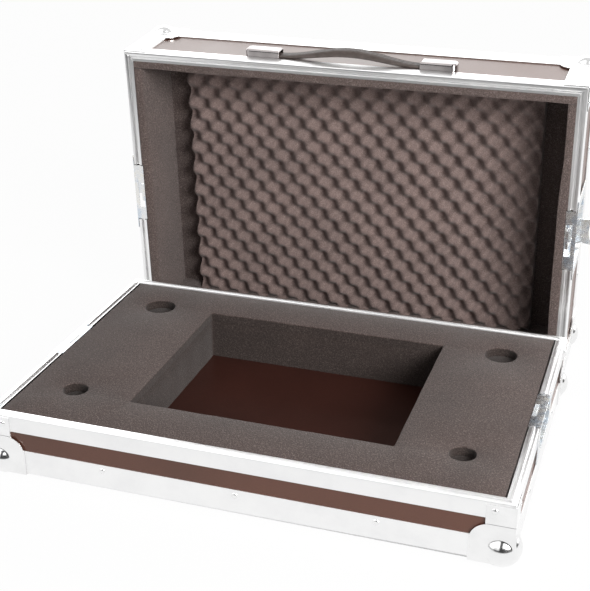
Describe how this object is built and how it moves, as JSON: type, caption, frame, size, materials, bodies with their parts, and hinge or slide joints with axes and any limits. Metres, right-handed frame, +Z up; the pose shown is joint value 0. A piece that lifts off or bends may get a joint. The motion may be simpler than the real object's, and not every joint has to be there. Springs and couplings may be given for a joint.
{
  "type": "mixer case",
  "caption": "Wide shallow road case for a tabletop mixer: foam-fitted base, deeper lift-off lid with butterfly latches, ball corners and a strap handle.",
  "frame": {"origin": "on the floor, under the centre of the base", "axes": "+X to the right along the length of the case, +Y from front to rear, +Z up"},
  "size_m": [0.638, 0.5678, 0.4186],
  "materials": {
    "aluminium_profile": "satin",
    "pressed_steel": "satin",
    "plated_steel": "polished",
    "brown_laminate": "satin",
    "dark_foam": "matte",
    "egg_foam": "matte",
    "strap_plastic": "satin"
  },
  "bodies": {
    "base": {"base_ball_corner_front_left": "pressed_steel", "base_ball_corner_front_right": "pressed_steel", "base_ball_corner_rear_left": "pressed_steel", "base_ball_corner_rear_right": "pressed_steel", "base_corner_angles": "aluminium_profile", "base_corner_brackets": "pressed_steel", "base_edge_front": "aluminium_profile", "base_edge_left": "aluminium_profile", "base_edge_rear": "aluminium_profile", "base_edge_right": "aluminium_profile", "base_floor_panel": "brown_laminate", "base_foam_bottom": "dark_foam", "base_foam_top": "dark_foam", "base_front_panel": "brown_laminate", "base_left_panel": "brown_laminate", "base_rear_panel": "brown_laminate", "base_right_panel": "brown_laminate", "base_rim_front": "aluminium_profile", "base_rim_left": "aluminium_profile", "base_rim_rear": "aluminium_profile", "base_rim_right": "aluminium_profile", "keeper_dish_left": "plated_steel", "keeper_dish_right": "plated_steel"},
    "lid": {"egg_crate_foam": "egg_foam", "handle_caps": "plated_steel", "latch_dish_left": "plated_steel", "latch_dish_right": "plated_steel", "lid_back_foam": "dark_foam", "lid_ball_corner_front_left": "pressed_steel", "lid_ball_corner_front_right": "pressed_steel", "lid_ball_corner_rear_left": "pressed_steel", "lid_ball_corner_rear_right": "pressed_steel", "lid_corner_angles": "aluminium_profile", "lid_corner_brackets": "pressed_steel", "lid_edge_front": "aluminium_profile", "lid_edge_left": "aluminium_profile", "lid_edge_rear": "aluminium_profile", "lid_edge_right": "aluminium_profile", "lid_front_panel": "brown_laminate", "lid_left_panel": "brown_laminate", "lid_lining_front": "dark_foam", "lid_lining_left": "dark_foam", "lid_lining_rear": "dark_foam", "lid_lining_right": "dark_foam", "lid_rear_panel": "brown_laminate", "lid_right_panel": "brown_laminate", "lid_rim_front": "aluminium_profile", "lid_rim_left": "aluminium_profile", "lid_rim_rear": "aluminium_profile", "lid_rim_right": "aluminium_profile", "lid_top_panel": "brown_laminate"},
    "handle_strap": {"handle_strap": "strap_plastic"},
    "rotor_left": {"latch_rotor_left": "plated_steel"},
    "hook_left": {"latch_hook_left": "plated_steel"},
    "wing_left_rim": {"latch_wing_left_rim": "plated_steel"},
    "wing_left_top": {"latch_wing_left_top": "plated_steel"},
    "rotor_right": {"latch_rotor_right": "plated_steel"},
    "hook_right": {"latch_hook_right": "plated_steel"},
    "wing_right_rim": {"latch_wing_right_rim": "plated_steel"},
    "wing_right_top": {"latch_wing_right_top": "plated_steel"}
  },
  "joints": [
    {"name": "lid_lift", "type": "slide", "parent": "base", "child": "lid", "axis": [0, 0, 1], "range_m": [0, 0.2]},
    {"name": "strap_slide", "type": "slide", "parent": "lid", "child": "handle_strap", "axis": [1, 0, 0], "range_m": [-0.002, 0.002]},
    {"name": "latch_turn_left", "type": "hinge", "parent": "lid", "child": "rotor_left", "pos_m": [-0.2992, 0.26189, 0.20305], "axis": [1, 0, 0], "range_deg": [0, 180]},
    {"name": "hook_slide_left", "type": "slide", "parent": "lid", "child": "hook_left", "axis": [0, -0.9975, -0.0701], "range_m": [0, 0.01605]},
    {"name": "wing_fold_left_rim", "type": "hinge", "parent": "rotor_left", "child": "wing_left_rim", "pos_m": [-0.2992, 0.26189, 0.20305], "axis": [0, -0.0701, 0.9975], "range_deg": [0, 88]},
    {"name": "wing_fold_left_top", "type": "hinge", "parent": "rotor_left", "child": "wing_left_top", "pos_m": [-0.2992, 0.26189, 0.20305], "axis": [0, 0.0701, -0.9975], "range_deg": [0, 88]},
    {"name": "latch_turn_right", "type": "hinge", "parent": "lid", "child": "rotor_right", "pos_m": [0.2908, 0.26189, 0.20305], "axis": [1, 0, 0], "range_deg": [0, 180]},
    {"name": "hook_slide_right", "type": "slide", "parent": "lid", "child": "hook_right", "axis": [0, -0.9975, -0.0701], "range_m": [0, 0.01605]},
    {"name": "wing_fold_right_rim", "type": "hinge", "parent": "rotor_right", "child": "wing_right_rim", "pos_m": [0.2908, 0.26189, 0.20305], "axis": [0, 0.0701, -0.9975], "range_deg": [0, 88]},
    {"name": "wing_fold_right_top", "type": "hinge", "parent": "rotor_right", "child": "wing_right_top", "pos_m": [0.2908, 0.26189, 0.20305], "axis": [0, -0.0701, 0.9975], "range_deg": [0, 88]}
  ],
  "couplings": [
    {"joint": "hook_slide_left", "follows": "latch_turn_left", "m_per_rad": 0.005093},
    {"joint": "hook_slide_right", "follows": "latch_turn_right", "m_per_rad": 0.005093}
  ]
}
